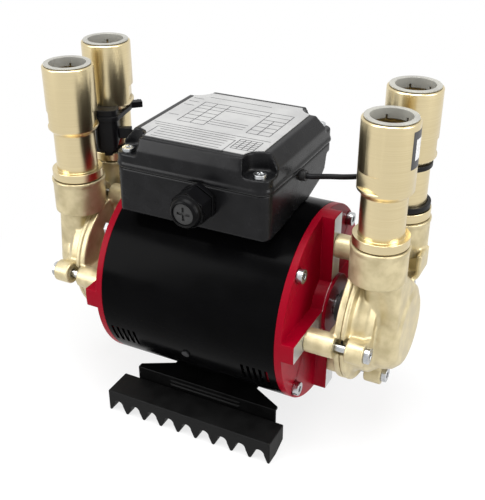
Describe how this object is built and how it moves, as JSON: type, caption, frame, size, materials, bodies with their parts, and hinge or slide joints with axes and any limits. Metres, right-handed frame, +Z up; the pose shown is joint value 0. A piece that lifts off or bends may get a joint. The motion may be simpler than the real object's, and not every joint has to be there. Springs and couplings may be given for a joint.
{
  "type": "shower pump",
  "caption": "Twin-ended electric shower pump with brass pump ends, push-fit pipe couplers, a terminal box on top and toothed rubber feet.",
  "frame": {"origin": "on the floor, under the middle of the pump's overall box", "axes": "+X along the motor shaft toward the right pump, -Y toward the cable gland and the inlet couplers, +Z up"},
  "size_m": [0.237, 0.127, 0.2222],
  "materials": {
    "sleeve_paint": "gloss",
    "bell_paint": "satin",
    "zinc_steel": "bright",
    "dark_screw": "satin",
    "stack_steel": "dull",
    "winding_copper": "varnished copper",
    "shaft_steel": "ground",
    "cage_aluminium": "satin",
    "cast_brass": "cast, matt",
    "turned_brass": "turned",
    "seal_rubber": "matt",
    "foot_rubber": "matt",
    "impeller_plastic": "matt",
    "seal_ceramic": "matt",
    "collet_plastic": "matt",
    "sensor_plastic": "satin",
    "lead_sheath": "satin",
    "box_plastic": "moulded",
    "gland_plastic": "satin",
    "plate_silver": "matt printed plate",
    "bracket_paint": "gloss"
  },
  "bodies": {
    "pump_body": {"motor_shell": "sleeve_paint", "shell_screw": "dark_screw", "stator_core": "stack_steel", "stator_windings": "winding_copper", "end_bell_left": "bell_paint", "end_bell_right": "bell_paint", "through_bolts": "zinc_steel", "bearing_outer_rings": "shaft_steel", "bearing_balls": "shaft_steel", "back_plate_left": "cast_brass", "back_plate_right": "cast_brass", "volute_left": "cast_brass", "volute_right": "cast_brass", "casing_gaskets": "seal_rubber", "pump_screws_left": "zinc_steel", "pump_screws_right": "zinc_steel", "seal_seats": "seal_ceramic", "inlet_coupler_left": "turned_brass", "inlet_coupler_right": "turned_brass", "outlet_coupler_left": "turned_brass", "outlet_coupler_right": "turned_brass", "pipe_o_rings": "seal_rubber", "grab_rings": "zinc_steel", "spigot_o_rings": "seal_rubber", "float_stop_rings": "zinc_steel", "flow_sensor_left": "sensor_plastic", "flow_sensor_right": "sensor_plastic", "cable_ties": "sensor_plastic", "sensor_lead_left": "lead_sheath", "sensor_lead_right": "lead_sheath", "lead_grommets": "seal_rubber", "terminal_box_base": "box_plastic", "terminal_box_lid": "box_plastic", "lid_gasket": "seal_rubber", "lid_screws": "zinc_steel", "rating_plate": "plate_silver", "gland_body": "gland_plastic", "gland_nut": "gland_plastic", "gland_insert": "seal_rubber", "capacitor": "cage_aluminium", "terminal_block": "seal_ceramic", "foot_bracket": "bracket_paint", "foot_bracket_screws": "zinc_steel", "rubber_foot_front": "foot_rubber", "rubber_foot_back": "foot_rubber"},
    "rotor": {"motor_shaft": "shaft_steel", "rotor_core": "stack_steel", "rotor_cage": "cage_aluminium", "bearing_inner_rings": "shaft_steel", "impeller_left": "impeller_plastic", "impeller_right": "impeller_plastic", "impeller_nuts": "zinc_steel", "seal_heads": "shaft_steel", "water_slingers": "seal_rubber"},
    "inlet_collet_left_body": {"inlet_collet_left": "collet_plastic"},
    "inlet_collet_right_body": {"inlet_collet_right": "collet_plastic"},
    "outlet_collet_left_body": {"outlet_collet_left": "collet_plastic"},
    "outlet_collet_right_body": {"outlet_collet_right": "collet_plastic"},
    "flow_float_left_body": {"flow_float_left": "seal_ceramic"},
    "flow_float_right_body": {"flow_float_right": "seal_ceramic"}
  },
  "joints": [
    {"name": "shaft_spin", "type": "hinge", "parent": "pump_body", "child": "rotor", "pos_m": [0, 0.0025, 0.0858], "axis": [1, 0, 0], "continuous": true},
    {"name": "inlet_collet_lift_left", "type": "slide", "parent": "pump_body", "child": "inlet_collet_left_body", "axis": [0, 0, 1], "range_m": [0, 0.001]},
    {"name": "inlet_collet_lift_right", "type": "slide", "parent": "pump_body", "child": "inlet_collet_right_body", "axis": [0, 0, 1], "range_m": [0, 0.001]},
    {"name": "outlet_collet_lift_left", "type": "slide", "parent": "pump_body", "child": "outlet_collet_left_body", "axis": [0, 0, 1], "range_m": [0, 0.001]},
    {"name": "outlet_collet_lift_right", "type": "slide", "parent": "pump_body", "child": "outlet_collet_right_body", "axis": [0, 0, 1], "range_m": [0, 0.001]},
    {"name": "flow_float_rise_left", "type": "slide", "parent": "pump_body", "child": "flow_float_left_body", "axis": [0, 0, 1], "range_m": [0, 0.008]},
    {"name": "flow_float_rise_right", "type": "slide", "parent": "pump_body", "child": "flow_float_right_body", "axis": [0, 0, 1], "range_m": [0, 0.008]}
  ]
}
